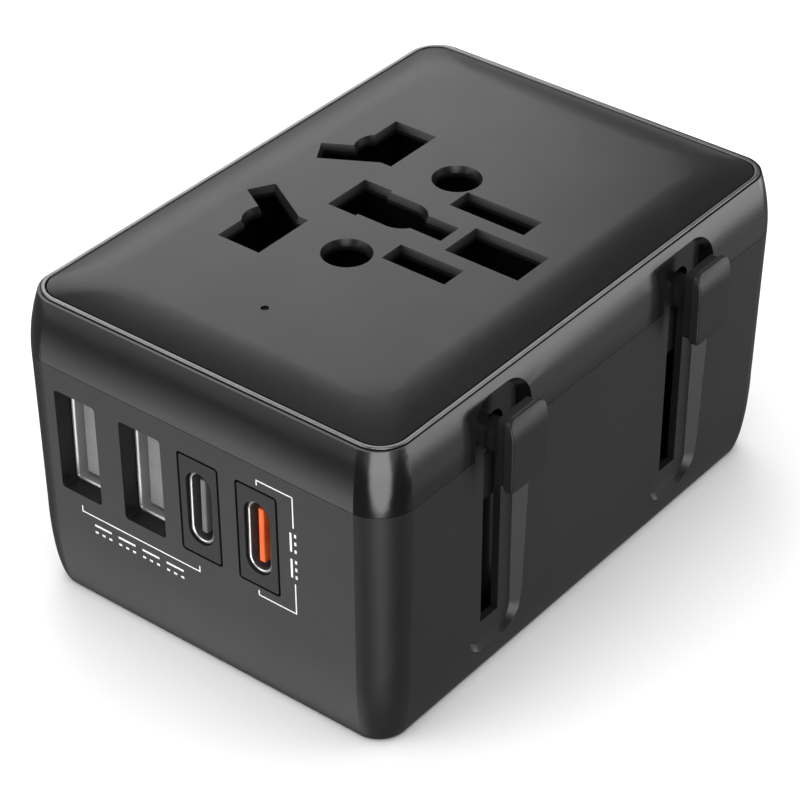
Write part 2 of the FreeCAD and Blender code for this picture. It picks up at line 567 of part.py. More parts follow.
def us_carriage():
    y, half = -SLIDER_Y, US_CARRIAGE_HALF
    plate = box(-US_CARRIAGE_X, US_CARRIAGE_X, y - half, y + half, PLATE_Z0, PLATE_Z1)
    link = box(US_CARRIAGE_X - 0.4, ARM_X0 + ARM_OVERLAP, y - LINK_HALF, y + LINK_HALF, PLATE_Z0, PLATE_Z1)
    arm = slider_arm().translated(V(0, y, 0))
    seats = [us_drum(side, SWIVEL_FIT, 1) for side in (-1, 1)]
    return cut(fuse([plate, link, arm]), seats)


def us_drum(side, grow, reach):
    """The round drum of one blade, grown sideways by a fit and run on past both ends, to use it as a tool."""
    x, y, top = side * US_BLADE_X, -SLIDER_Y, PLATE_Z1 - FIT
    drum = post(x, y, PLATE_Z0 - reach, top + reach, SWIVEL_R + grow)
    head = post(x, y, top - SWIVEL_HEAD_H - grow, top + reach, SWIVEL_HEAD_R + grow)
    return fuse([drum, head])


def us_swivel(side):
    """The drum that carries one flat blade and turns in the carriage."""
    return us_drum(side, 0, 0).cut(us_blade(side))


def us_blade(side):
    x, y = side * US_BLADE_X, -SLIDER_Y
    half_t, half_w = US_BLADE_T / 2, US_BLADE_W / 2
    blade = box(x - half_t, x + half_t, y - half_w, y + half_w, PIN_TIP_Z, PLATE_Z1 - FIT)
    return blade.makeChamfer(BLADE_TIP, [e for e in blade.Edges if e.BoundBox.ZMax < PIN_TIP_Z + NEAR])


def uk_carriage():
    z0, z1, y = PLATE_Z0, PLATE_Z1, UK_PIN_Y
    bar = box(-UK_CARRIAGE_X, UK_CARRIAGE_X, y - UK_BAR_HALF, y + UK_BAR_HALF, z0, z1)
    spine = box(-UK_SPINE_HALF, UK_SPINE_HALF, y, UK_SPINE_Y1, z0, z1)
    link = box(0, ARM_X0 + ARM_OVERLAP, SLIDER_Y - LINK_HALF, SLIDER_Y + LINK_HALF, z0, z1)
    arm = slider_arm().translated(V(0, SLIDER_Y, 0))
    return cut(fuse([bar, spine, link, arm]), [uk_pin(-1), uk_pin(1), uk_earth_pin()])


def flat_pin(x, y, half_w, half_t):
    pin = box(x - half_w, x + half_w, y - half_t, y + half_t, PIN_TIP_Z, PIN_TOP_Z)
    pin = pin.makeChamfer(PIN_TIP, [e for e in pin.Edges if e.BoundBox.ZMax < PIN_TIP_Z + NEAR])
    head_w, head_t = half_w + PIN_HEAD_OUT, half_t + PIN_HEAD_OUT
    head = box(x - head_w, x + head_w, y - head_t, y + head_t, PIN_TOP_Z - PIN_HEAD_H, PIN_TOP_Z)
    return pin.fuse(head).removeSplitter()


def uk_pin(side):
    return flat_pin(side * UK_PIN_X, UK_PIN_Y, UK_PIN_W / 2, UK_PIN_T / 2)


def uk_earth_pin():
    return flat_pin(0, UK_EARTH_Y, UK_EARTH_W / 2, UK_EARTH_T / 2)


def eu_carriage():
    y, z0, z1 = EU_SLIDER_Y, PLATE_Z0, PLATE_Z1
    bar = box(-ARM_X0 - ARM_OVERLAP, EU_CARRIAGE_X, y - EU_BAR_HALF, y + EU_BAR_HALF, z0, z1)
    arm = slider_arm()
    arm.rotate(V(0, 0, 0), UP, 180)
    return cut(fuse([bar, arm.translated(V(0, y, 0))]), [eu_pin(-1), eu_pin(1)])


def eu_pin(side):
    x, y = side * EU_PIN_X, EU_SLIDER_Y
    tip = Part.makeSphere(EU_PIN_R, V(x, y, PIN_TIP_Z + EU_PIN_R))
    shank = post(x, y, PIN_TIP_Z + EU_PIN_R, PIN_TOP_Z, EU_PIN_R)
    head = post(x, y, PIN_TOP_Z - PIN_HEAD_H, PIN_TOP_Z, EU_PIN_R + EU_HEAD_OUT)
    return fuse([tip, shank, head])


# ---------------------------------------------------------------- USB ports
def shell_tube(half_w, half_h, r, wall, length, lip):
    """A thin tube along Z, closed at its far end, whose mouth is bevelled inside."""
    outer = rounded_block(half_w, half_h, r, 0, length)
    inner_w, inner_h, inner_r = half_w - wall, half_h - wall, r - wall
    hollow = rounded_block(inner_w, inner_h, inner_r, -1, length - wall)
    above = 0.1
    wide = rounded_wire(inner_w + lip + above, inner_h + lip + above, inner_r + lip + above, -above)
    flare = Part.makeLoft([wide, rounded_wire(inner_w, inner_h, inner_r, lip)], True, True)
    return cut(outer, [hollow, flare])


def usb_a_shell(x):
    length = USB_BOARD_Y0 - USB_A_SHELL_Y
    shell = shell_tube(USB_A_SHELL_W / 2, USB_A_SHELL_H / 2, USB_A_SHELL_R, USB_A_SHELL_T, length, USB_A_LIP)
    return facing_front(shell, x, USB_A_SHELL_Y, USB_Z)


def usb_a_tongue(x):
    """The plastic tongue with its base block at the shell's back."""
    middle, back = x + USB_A_TONGUE_X, USB_BOARD_Y0 - USB_A_SHELL_T - TONGUE_GAP
    half_w, half_h = USB_A_TONGUE_W / 2, USB_A_TONGUE_H / 2
    z0, z1 = USB_Z - half_h, USB_Z + half_h
    tongue = box(middle - half_w, middle + half_w, USB_A_SHELL_Y + USB_A_TONGUE_BACK, back, z0, z1)
    base_half = USB_A_SHELL_W / 2 - USB_A_SHELL_T - TONGUE_GAP
    base = box(x - base_half, x + base_half, back - USB_A_BASE_L, back, z0, z1)
    return tongue.fuse(base).removeSplitter()


def usb_a_contacts(x):
    """Four flat contact strips on the tongue's open side."""
    x0 = x + USB_A_TONGUE_X + USB_A_TONGUE_W / 2 + 0.01
    y0 = USB_A_SHELL_Y + USB_A_CONTACT_BACK
    y1 = USB_BOARD_Y0 - USB_A_SHELL_T - USB_A_BASE_L - 0.1
    x1, half = x0 + USB_A_CONTACT_T, USB_A_CONTACT_HALF
    return [box(x0, x1, y0, y1, USB_Z + z - half, USB_Z + z + half) for z in USB_A_CONTACT_Z]


def usb_c_insert(x, outside):
    """The small plate round one USB-C mouth, flush with the housing's face."""
    y0 = -HALF_Y - 1
    block = rounded_block(USB_C_PLATE_W / 2, USB_C_PLATE_H / 2, USB_C_PLATE_R, 0, PORT_WALL_Y - y0)
    half_w, half_h = USB_C_SHELL_W / 2 + USB_C_MOUTH_FIT, USB_C_SHELL_H / 2 + USB_C_MOUTH_FIT
    mouth = rounded_block(half_w, half_h, half_w - FLAT_END, 0, USB_C_MOUTH_DEPTH)
    return facing_front(block, x, y0, USB_Z).common(outside).cut(facing_front(mouth, x, y0, USB_Z))


def usb_c_shell(x):
    half_w, length = USB_C_SHELL_W / 2, USB_BOARD_Y0 - USB_C_SHELL_Y
    shell = shell_tube(half_w, USB_C_SHELL_H / 2, half_w - FLAT_END, USB_C_SHELL_T, length, USB_C_LIP)
    return facing_front(shell, x, USB_C_SHELL_Y, USB_Z)


def usb_c_tongue(x):
    back, front = USB_BOARD_Y0 - USB_C_SHELL_T - TONGUE_GAP, USB_C_SHELL_Y + USB_C_TONGUE_BACK
    half_w, half_h = USB_C_TONGUE_W / 2, USB_C_TONGUE_H / 2
    z0, z1 = USB_Z - half_h, USB_Z + half_h
    tongue = box(x - half_w, x + half_w, front, back, z0, z1)
    tongue = round_edges(tongue, USB_C_TONGUE_R, lambda e: e.BoundBox.YMax < front + NEAR)
    base = box(x - USB_C_BASE_HALF, x + USB_C_BASE_HALF, back - USB_C_BASE_L, back, z0, z1)
    return tongue.fuse(base).removeSplitter()


def usb_board():
    return box(USB_BOARD_X0, USB_BOARD_X1, USB_BOARD_Y0, USB_BOARD_Y1, USB_BOARD_Z0, USB_BOARD_Z1)


def on_usb_board(x, z, half, height):
    """A square block on the front of the USB board."""
    y1 = USB_BOARD_Y0 - PART_GAP
    return box(x - half, x + half, y1 - height, y1, z - half, z + half)


def usb_coil():
    body = on_usb_board(COIL_X, COIL_Z, COIL_HALF, COIL_H)
    return round_edges(body, COIL_R, lambda e: e.BoundBox.YLength > COIL_H / 2)


def status_led():
    lens = post(LED_X, LED_Y, STATUS_LED_Z0, STATUS_LED_Z1, STATUS_LED_R)
    rim = post(LED_X, LED_Y, STATUS_LED_Z0 - STATUS_RIM_H, STATUS_LED_Z0, STATUS_RIM_R)
    return fuse([lens, rim])


def light_pipe():
    top = PLATE_EDGE_Z + CROWN_H - PIPE_SET_BACK
    pipe = post(LED_X, LED_Y, PIPE_Z0, top, LED_R - PIPE_FIT)
    return fuse([pipe, post(LED_X, LED_Y, PIPE_Z0, PIPE_Z0 + PIPE_FOOT_H, PIPE_FOOT_R)])


# ---------------------------------------------------------------- power board
def power_board():
    board = box(BOARD_X0, BOARD_X1, BOARD_Y0, BOARD_Y1, BOARD_Z0, BOARD_Z1)
    x, y = SCREWS[2]
    reach = BOSS_R + BOARD_NOTCH
    return board.cut(box(BOARD_X0 - 1, x + reach, y - reach, BOARD_Y1 + 1, BOARD_Z0 - 1, BOARD_Z1 + 1))


def transformer():
    """Winding and ferrite core of the USB supply as one potted block with its core standing proud."""
    z0 = BOARD_Z1 + PART_GAP
    core = box(*CORE_X, *CORE_Y, z0 + CORE_Z[0], z0 + CORE_Z[1])
    coil = box(*COIL_BLOCK_X, *COIL_BLOCK_Y, z0, z0 + COIL_BLOCK_H)
    coil = round_edges(coil, COIL_BLOCK_R, lambda e: e.BoundBox.ZLength > COIL_BLOCK_H / 2)
    return core.fuse(coil).removeSplitter()


def bulk_capacitor():
    z0 = BOARD_Z1 + PART_GAP
    can = post(CAN_X, CAN_Y, z0, z0 + CAN_H, CAN_R)
    outer = post(CAN_X, CAN_Y, z0 + CAN_GROOVE_Z0, z0 + CAN_GROOVE_Z1, CAN_R + 1)
    return can.cut(outer.cut(post(CAN_X, CAN_Y, z0, z0 + CAN_H, CAN_GROOVE_R)))


def safety_capacitor():
    z0 = BOARD_Z1 + PART_GAP
    body = box(*SAFETY_X, *SAFETY_Y, z0, z0 + SAFETY_H)
    return round_edges(body, SAFETY_R, lambda e: e.BoundBox.ZMax > z0 + SAFETY_H / 2)


def fuse_tube():
    (z0, z1), (z2, z3) = FUSE_CAPS_Z
    glass = post(FUSE_X, FUSE_Y, (z0 + z1) / 2, (z2 + z3) / 2, FUSE_R)
    return fuse([glass, post(FUSE_X, FUSE_Y, z0, z1, FUSE_CAP_R), post(FUSE_X, FUSE_Y, z2, z3, FUSE_CAP_R)])


def fuse_clip(z0):
    """One brass cup that holds an end cap of the fuse."""
    half = CLIP_HALF
    outer = box(FUSE_X - half, FUSE_X + half, FUSE_Y - half, FUSE_Y + half, z0, z0 + CLIP_H)
    mouth = box(FUSE_X - CLIP_MOUTH_HALF, FUSE_X + CLIP_MOUTH_HALF, CLIP_MOUTH_Y0, CLIP_MOUTH_Y1,
                z0 - 1, z0 + CLIP_H + 1)
    return cut(outer, [post(FUSE_X, FUSE_Y, z0 - 1, z0 + CLIP_H + 1, FUSE_CAP_R + CLIP_FIT), mouth])


def build():
    save("cover_plate", cover_plate())
    save("trim_ring", trim_ring())
    save("upper_housing", upper_housing())
    save("lower_housing", lower_housing())
    save("case_screws", *[case_screw(x, y) for x, y in SCREWS])
    save("socket_block", socket_block())
    pole = contact(POLE_STRIPS, POLE_LEAVES)
    save("line_contact", pole)
    save("neutral_contact", mirrored_y(pole))
    save("earth_contact", contact(EARTH_STRIPS, EARTH_LEAVES))

    save("us_carriage", us_carriage())
    for name, side in (("left", -1), ("right", 1)):
        save(f"us_swivel_{name}", us_swivel(side))
        save(f"us_blade_{name}", us_blade(side))
        save(f"uk_pin_{name}", uk_pin(side))
        save(f"eu_pin_{name}", eu_pin(side))
    save("uk_carriage", uk_carriage())
    save("uk_earth_pin", uk_earth_pin())
    save("eu_carriage", eu_carriage())
    places = (("us", -SLIDER_Y, 0, PAD_Z0), ("uk", SLIDER_Y, 0, PAD_Z0), ("eu", EU_SLIDER_Y, 180, EU_PAD_Z0))
    for name, y, turn, pad_z0 in places:
        for kind, shape in (("button", button(pad_z0)), ("button_spring", button_spring())):
            shape.rotate(V(0, 0, 0), UP, turn)
            save(f"{name}_{kind}", shape.translated(V(0, y, 0)))

    outside = lower_outside()
    for number, x in enumerate(USB_A_X, 1):
        save(f"usb_a_shell_{number}", usb_a_shell(x))
        save(f"usb_a_tongue_{number}", usb_a_tongue(x))
        save(f"usb_a_contacts_{number}", *usb_a_contacts(x))
    for number, x in enumerate(USB_C_X, 1):
        save(f"usb_c_insert_{number}", usb_c_insert(x, outside))
        save(f"usb_c_shell_{number}", usb_c_shell(x))
        save(f"usb_c_tongue_{number}", usb_c_tongue(x))
    save("usb_board", usb_board())
    save("usb_chips", *[on_usb_board(x, CHIP_Z, CHIP_HALF, CHIP_H) for x in CHIP_X])
    save("usb_coil", usb_coil())
    save("status_led", status_led())
    save("light_pipe", light_pipe())

    save("power_board", power_board())
    save("transformer", transformer())
    save("bulk_capacitor", bulk_capacitor())
    save("safety_capacitor", safety_capacitor())
    save("mains_fuse", fuse_tube())
    save("fuse_clips", *[fuse_clip(z0) for z0 in CLIP_Z])


build()
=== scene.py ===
"""Looks of a universal travel adapter: finishes, printed marks, light and camera."""

import math

import bmesh
import bpy
from mathutils import Matrix, Vector


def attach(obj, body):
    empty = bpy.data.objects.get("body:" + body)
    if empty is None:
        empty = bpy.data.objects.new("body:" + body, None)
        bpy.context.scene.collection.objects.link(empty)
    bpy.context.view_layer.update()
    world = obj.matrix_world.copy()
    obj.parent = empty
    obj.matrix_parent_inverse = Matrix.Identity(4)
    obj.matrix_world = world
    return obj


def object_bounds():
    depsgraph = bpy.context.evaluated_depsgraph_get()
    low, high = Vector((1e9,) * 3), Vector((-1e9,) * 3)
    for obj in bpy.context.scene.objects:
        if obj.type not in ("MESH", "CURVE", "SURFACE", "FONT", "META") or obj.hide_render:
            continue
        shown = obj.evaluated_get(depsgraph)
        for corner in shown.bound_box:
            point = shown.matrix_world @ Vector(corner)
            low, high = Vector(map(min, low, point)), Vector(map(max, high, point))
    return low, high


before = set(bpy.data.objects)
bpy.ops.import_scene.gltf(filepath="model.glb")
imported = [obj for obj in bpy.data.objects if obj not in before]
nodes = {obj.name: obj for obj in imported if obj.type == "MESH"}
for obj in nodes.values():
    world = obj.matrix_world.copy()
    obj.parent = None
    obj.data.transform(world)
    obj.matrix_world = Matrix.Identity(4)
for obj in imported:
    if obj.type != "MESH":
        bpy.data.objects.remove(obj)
cad_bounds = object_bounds()

MM = 0.001


# ---------------------------------------------------------------- node helpers
class Graph:
    """A short way to add and link shader nodes in one tree."""

    def __init__(self, tree):
        self.tree = tree
        tree.nodes.clear()

    def add(self, kind, inputs=None, **settings):
        node = self.tree.nodes.new(kind)
        for key, value in settings.items():
            setattr(node, key, value)
        for key, value in (inputs or {}).items():
            if isinstance(value, bpy.types.NodeSocket):
                self.tree.links.new(value, node.inputs[key])
            else:
                node.inputs[key].default_value = value
        return node

    def noise(self, vector, scale, detail=2.0, rough=0.5):
        found = self.add("ShaderNodeTexNoise",
                         {"Vector": vector, "Scale": scale, "Detail": detail, "Roughness": rough})
        return found.outputs["Fac"]

    def ramp(self, value, low, high, start, end):
        """Maps value from low..high to start..end, held at the ends."""
        found = self.add("ShaderNodeMapRange", {"Value": value, "From Min": low, "From Max": high,
                                                "To Min": start, "To Max": end})
        return found.outputs["Result"]

    def wander(self, value, low, high, middle, reach):
        """Maps value from low..high to a little under and a little over the middle."""
        under, over = reach
        return self.ramp(value, low, high, middle - under, middle + over)

    def blend(self, value, low, high, colour_a, colour_b):
        """Goes from colour_a to colour_b as value goes from low to high.

        Each of the two is a colour or a socket.
        """
        found = self.add("ShaderNodeMix", data_type="RGBA")
        self.tree.links.new(self.ramp(value, low, high, 0.0, 1.0), found.inputs["Factor"])
        for name, colour in (("A", colour_a), ("B", colour_b)):
            socket = next(s for s in found.inputs if s.name == name and s.type == "RGBA")
            if isinstance(colour, bpy.types.NodeSocket):
                self.tree.links.new(colour, socket)
            else:
                socket.default_value = (*colour, 1)
        return next(s for s in found.outputs if s.type == "RGBA")

    def stretched(self, vector, x, y, z):
        """The vector with each axis scaled, so that noise is drawn out along the smallest."""
        found = self.add("ShaderNodeMapping", {"Vector": vector, "Scale": (x, y, z)})
        return found.outputs["Vector"]

    def combine(self, operation, first, second):
        """One number from two."""
        found = self.add("ShaderNodeMath", {0: first, 1: second}, operation=operation)
        return found.outputs["Value"]

    def bump(self, height, distance, strength=1.0, under=None):
        """A normal from a height, over the normal under it if one is given."""
        inputs = {"Height": height, "Distance": distance, "Strength": strength}
        if under is not None:
            inputs["Normal"] = under
        return self.add("ShaderNodeBump", inputs).outputs["Normal"]


def new_material(name):
    """A material, its graph, and the place of each point on the object in metres."""
    material = bpy.data.materials.new(name)
    material.use_nodes = True
    graph = Graph(material.node_tree)
    place = graph.add("ShaderNodeTexCoord").outputs["Object"]
    return material, graph, place


def close_material(graph, inputs):
    """Ends a material in one principled shader with these inputs."""
    shader = graph.add("ShaderNodeBsdfPrincipled", inputs)
    graph.add("ShaderNodeOutputMaterial", {"Surface": shader.outputs["BSDF"]})


def axis_value(g, place, axis):
    """The distance from the middle plane along one axis of the object, in metres."""
    part = g.add("ShaderNodeSeparateXYZ", {"Vector": place}).outputs[axis]
    return g.add("ShaderNodeMath", {0: part}, operation="ABSOLUTE").outputs["Value"]


# The middle part of a noise, which the finishes spread their colours and gloss over
LOW, HIGH = 0.3, 0.7

# Plastic: flow marks, handling marks, a coarse grain measured against the fine one, and a dull neck
FLOW_STRETCH = (60, 60, 22)
HANDLING_SCALE, HANDLING_LOW, HANDLING_HIGH = 170.0, 0.25, 0.75
HANDLING_REACH = (0.015, 0.02)
COARSE_SCALE, COARSE_HEIGHT, COARSE_STRENGTH = 0.31, 1.6, 0.5
DULL_SHINE = 0.06
NECK_EDGE = 0.02 * MM


def plastic(name, dark, light, rough, grain, grain_height, ior=1.5, shine=0.5, neck=None):
    """Moulded plastic: grain of a given size, faint flow marks and handling marks in the gloss.

    neck gives a range of x, in millimetres, where the surface is left dull.
    """
    material, g, p = new_material(name)
    if neck is not None:
        across = axis_value(g, p, "X")
        low, high = neck
        dull = g.ramp(across, low * MM - NECK_EDGE, low * MM, 0.0, 1.0)
        shiny = g.ramp(across, high * MM - NECK_EDGE, high * MM, 0.0, 1.0)
        kept = g.combine("SUBTRACT", dull, shiny)
        shine = g.ramp(kept, 0.0, 1.0, shine, DULL_SHINE)
    flow = g.noise(g.stretched(p, *FLOW_STRETCH), 1.0, 3.0)
    handling = g.noise(p, HANDLING_SCALE, 4.0, 0.6)
    fine = g.noise(p, 1 / grain, 2.0, 0.6)
    coarse = g.noise(p, COARSE_SCALE / grain, 1.0)
    normal = g.bump(coarse, grain_height * COARSE_HEIGHT, COARSE_STRENGTH)
    normal = g.bump(fine, grain_height, 1.0, normal)
    close_material(g, {
        "Base Color": g.blend(flow, LOW, HIGH, dark, light),
        "Roughness": g.wander(handling, HANDLING_LOW, HANDLING_HIGH, rough, HANDLING_REACH),
        "IOR": ior,
        "Specular IOR Level": shine,
        "Normal": normal})
    return material


# Metal: clouds in the plating, fine lines, and painted shade outside a band that stays bright as a
# painted highlight
CLOUD_SCALE = 260.0
EVEN_LINES = (4000, 4000, 4000)
LINE_REACH = (0.05, 0.07)
# The colour of the painted shade, and the widths over which it fades in and out
PAINTED_SHADE = (0.10, 0.10, 0.102)
PAINTED_SHADE_FADE_IN, PAINTED_SHADE_FADE_OUT = 0.03 * MM, 0.01 * MM


def metal(name, dark, light, rough, line=None, line_height=0.4e-6, metallic=1.0, bright=None):
    """Plated or drawn metal, with fine lines along the axis whose stretch factor is small.

    bright gives a range of y, in millimetres from the middle: painted shade darkens the metal
    outside it.
    """
    material, g, p = new_material(name)
    cloud = g.noise(p, CLOUD_SCALE, 3.0)
    colour = g.blend(cloud, LOW, HIGH, dark, light)
    if bright is not None:
        # Painted shade inside and in front of the band, leaving the band as a painted highlight
        along = axis_value(g, p, "Y")
        low, high = bright
        colour = g.blend(along, low * MM - PAINTED_SHADE_FADE_IN, low * MM, PAINTED_SHADE, colour)
        colour = g.blend(along, high * MM - PAINTED_SHADE_FADE_OUT, high * MM, colour, PAINTED_SHADE)
    lines = g.noise(g.stretched(p, *(line or EVEN_LINES)), 1.0, 2.0, 0.6)
    close_material(g, {
        "Base Color": colour,
        "Metallic": metallic,
        "Roughness": g.wander(lines, LOW, HIGH, rough, LINE_REACH),
        "Normal": g.bump(lines, line_height, 1.0)})
    return material


# Coloured parts: uneven tint, and gloss that follows the grain
TINT_SCALE = 420.0
GRAIN_REACH = (0.04, 0.05)


def coloured(name, dark, light, rough, grain=0.2 * MM, height=1.0e-6):
    """A small coloured part: slightly uneven colour and gloss with a fine grain."""
    material, g, p = new_material(name)
    tint = g.noise(p, TINT_SCALE, 3.0)
    fine = g.noise(p, 1 / grain, 2.0)
    close_material(g, {
        "Base Color": g.blend(tint, LOW, HIGH, dark, light),
        "Roughness": g.wander(fine, LOW, HIGH, rough, GRAIN_REACH),
        "Normal": g.bump(fine, height, 1.0)})
    return material


# ---------------------------------------------------------------- finishes
FINISHES = {
    "satin_black": plastic("satin_black", (0.009, 0.009, 0.0095), (0.012, 0.012, 0.0125), 0.33,
                           0.14 * MM, 0.7e-6),
    "gloss_black": plastic("gloss_black", (0.007, 0.007, 0.0075), (0.009, 0.009, 0.0095), 0.15,
                           0.4 * MM, 0.15e-6),
    "matte_black": plastic("matte_black", (0.012, 0.012, 0.0125), (0.015, 0.015, 0.0155), 0.36,
                           0.12 * MM, 1.6e-6, ior=1.46, shine=0.38),
    "inner_black": plastic("inner_black", (0.006, 0.006, 0.006), (0.009, 0.009, 0.009), 0.6,
                           0.2 * MM, 1.5e-6, shine=0.2),
    "trim_grey": metal("trim_grey", (0.21, 0.21, 0.215), (0.27, 0.27, 0.275), 0.32),
    "nickel": metal("nickel", (0.60, 0.58, 0.55), (0.70, 0.68, 0.65), 0.2, (9000, 9000, 300)),
    "steel": metal("steel", (0.42, 0.42, 0.43), (0.55, 0.55, 0.56), 0.32),
    "brass": metal("brass", (0.66, 0.47, 0.20), (0.78, 0.58, 0.28), 0.27, (300, 9000, 9000)),
    "gold": metal("gold", (0.83, 0.60, 0.25), (0.95, 0.72, 0.34), 0.18, (9000, 300, 9000)),
    "tongue_white": coloured("tongue_white", (0.25, 0.25, 0.252), (0.31, 0.31, 0.312), 0.42),
    "tongue_grey": coloured("tongue_grey", (0.10, 0.10, 0.105), (0.14, 0.14, 0.145), 0.45),
    "tongue_orange": coloured("tongue_orange", (0.72, 0.085, 0.008), (0.85, 0.13, 0.014), 0.42),
    "circuit_board": coloured("circuit_board", (0.008, 0.07, 0.025), (0.012, 0.11, 0.04), 0.38,
                              0.5 * MM, 3e-6),
    "chip_black": coloured("chip_black", (0.012, 0.012, 0.012), (0.022, 0.022, 0.022), 0.55,
                           0.1 * MM, 2e-6),
    "ferrite": coloured("ferrite", (0.05, 0.05, 0.052), (0.09, 0.09, 0.092), 0.6,
                        0.15 * MM, 4e-6),
    "led": coloured("led", (0.45, 0.5, 0.6), (0.55, 0.6, 0.7), 0.2),
    "tape_yellow": coloured("tape_yellow", (0.55, 0.36, 0.03), (0.68, 0.47, 0.06), 0.35),
    "capacitor_sleeve": coloured("capacitor_sleeve", (0.008, 0.010, 0.03), (0.012, 0.015, 0.045),
                                 0.3),
    "capacitor_yellow": coloured("capacitor_yellow", (0.6, 0.35, 0.02), (0.7, 0.44, 0.04), 0.4),
    "ceramic": coloured("ceramic", (0.62, 0.60, 0.55), (0.74, 0.72, 0.67), 0.4),
}

PRINT_WHITE = coloured("print_white", (0.78, 0.78, 0.78), (0.88, 0.88, 0.88), 0.5,
                       0.1 * MM, 1e-6)

# The button's dull neck across X, and a USB-C lip's painted highlight along Y, in millimetres
BUTTON_NECK_X = (24.9, 27.04)
USB_C_HIGHLIGHT_Y = (35.0, 35.075)

# Finishes of single nodes, in place of their slot's
BUTTON = plastic("button_black", (0.012, 0.012, 0.0125), (0.015, 0.015, 0.0155), 0.36,
                 0.12 * MM, 1.2e-6, ior=1.46, shine=0.28, neck=BUTTON_NECK_X)
WELL = plastic("well_black", (0.002, 0.002, 0.002), (0.004, 0.004, 0.004), 0.8,
               0.2 * MM, 1.5e-6, shine=0.05)
USB_A_TIN = metal("usb_a_tin", (0.50, 0.50, 0.50), (0.60, 0.60, 0.60), 0.42, (300, 9000, 9000),
                  metallic=0.55)
# USB-C shells: painted shade inside the port and on the front rim, a painted highlight on the lip
USB_C_TIN = metal("usb_c_tin", (0.74, 0.74, 0.74), (0.84, 0.84, 0.84), 0.3, (9000, 9000, 300),
                  metallic=0.5, bright=USB_C_HIGHLIGHT_Y)
INSERT = plastic("insert_black", (0.012, 0.012, 0.0125), (0.015, 0.015, 0.0155), 0.40,
                 0.12 * MM, 1.2e-6, ior=1.46, shine=0.28)
SMOKE = coloured("smoke_pipe", (0.010, 0.010, 0.011), (0.014, 0.014, 0.015), 0.5)
# Edges sharper than this many degrees stay sharp; the cover plate's bevels need a lower limit
SHARP_EDGE = 32.0
SHARP = {"cover_plate": 18.0}
CREASED = ("upper_housing", "lower_housing")
OWN_FINISHES = {
    "light_pipe": SMOKE,
    "us_button": BUTTON, "uk_button": BUTTON, "eu_button": BUTTON, "socket_block": WELL,
    "usb_a_shell_1": USB_A_TIN, "usb_a_shell_2": USB_A_TIN,
    "usb_c_shell_1": USB_C_TIN, "usb_c_shell_2": USB_C_TIN,
    "usb_c_insert_1": INSERT, "usb_c_insert_2": INSERT}


def add_modifier(piece, kind, **settings):
    """Adds one modifier with these settings."""
    modifier = piece.modifiers.new(kind.lower(), kind)
    for key, value in settings.items():
        setattr(modifier, key, value)
    return modifier


# The housing's corner arcs meet its flat sides in a faint crease. The creases lie in these ranges,
# in millimetres from the middle, and beyond FLANK_Y on the front and back or FLANK_X on the sides.
CREASE_X, CREASE_Y = (20.0, 20.85), (30.7, 31.55)
FLANK_X, FLANK_Y = 22.8, 33.0


def crease_splitter():
    """Geometry nodes that part the mesh along the four pairs of upright creases."""
    tree = bpy.data.node_groups.new("crease_splitter", "GeometryNodeTree")
    tree.interface.new_socket(name="Geometry", in_out="INPUT", socket_type="NodeSocketGeometry")
    tree.interface.new_socket(name="Geometry", in_out="OUTPUT", socket_type="NodeSocketGeometry")
    g = Graph(tree)

    def check(a, kind, b):
        found = g.add("FunctionNodeCompare", {0: a, 1: b}, data_type="FLOAT", operation=kind)
        return found.outputs["Result"]

    def both(a, b, kind="AND"):
        found = g.add("FunctionNodeBooleanMath", {0: a, 1: b}, operation=kind)
        return found.outputs["Boolean"]

    def above(value, limit):
        return check(value, "GREATER_THAN", limit * MM)

    def inside(value, limits):
        low, high = limits
        return both(above(value, low), check(value, "LESS_THAN", high * MM))

    def parts_of(vector):
        sizes = g.add("ShaderNodeVectorMath", {0: vector}, operation="ABSOLUTE").outputs["Vector"]
        return g.add("ShaderNodeSeparateXYZ", {"Vector": sizes}).outputs

    middle = parts_of(g.add("GeometryNodeInputPosition").outputs["Position"])
    ends = g.add("GeometryNodeInputMeshEdgeVertices").outputs
    run = parts_of(g.add("ShaderNodeVectorMath", {0: ends["Position 1"], 1: ends["Position 2"]},
                         operation="SUBTRACT").outputs["Vector"])
    upright = check(run["Z"], "GREATER_THAN", g.combine("ADD", run["X"], run["Y"]))
    on_front = both(inside(middle["X"], CREASE_X), above(middle["Y"], FLANK_Y))
    on_side = both(inside(middle["Y"], CREASE_Y), above(middle["X"], FLANK_X))
    chosen = both(upright, both(on_front, on_side, "OR"))
    given = g.add("NodeGroupInput").outputs["Geometry"]
    parted = g.add("GeometryNodeSplitEdges", {"Mesh": given, "Selection": chosen}).outputs["Mesh"]
    g.add("NodeGroupOutput", {"Geometry": parted})
    return tree


WELD_GAP = 0.6e-6


def smooth_joins(piece, sharp, creases):
    """Joins faces that run smoothly into each other and keeps the real edges sharp."""
    add_modifier(piece, "WELD", merge_threshold=WELD_GAP)
    add_modifier(piece, "EDGE_SPLIT", split_angle=math.radians(sharp), use_edge_sharp=False)
    if creases is not None:
        add_modifier(piece, "NODES", node_group=creases)
    add_modifier(piece, "WEIGHTED_NORMAL", mode="FACE_AREA", weight=50, keep_sharp=False)


def dress_cad_nodes():
    """Every CAD node takes the finish of its slot, or its own."""
    creases = crease_splitter()
    for name, node in nodes.items():
        for holder in node.material_slots:
            slot = holder.material.name.split(".")[0]
            holder.material = OWN_FINISHES.get(name) or FINISHES[slot]
        smooth_joins(node, SHARP.get(name, SHARP_EDGE), creases if name in CREASED else None)


# ---------------------------------------------------------------- printed marks
# The front leans in by FRONT_DRAFT from the seam down to the height where the bottom curve starts
FRONT_Y_AT_SEAM = -cad_bounds[0][1] / MM
SEAM_Z, CURVE_Z = 30.2, 10.8
FRONT_DRAFT = 0.35
INK_PROUD, INK_SUNK = 0.012, 0.01
LINE_W = 0.15


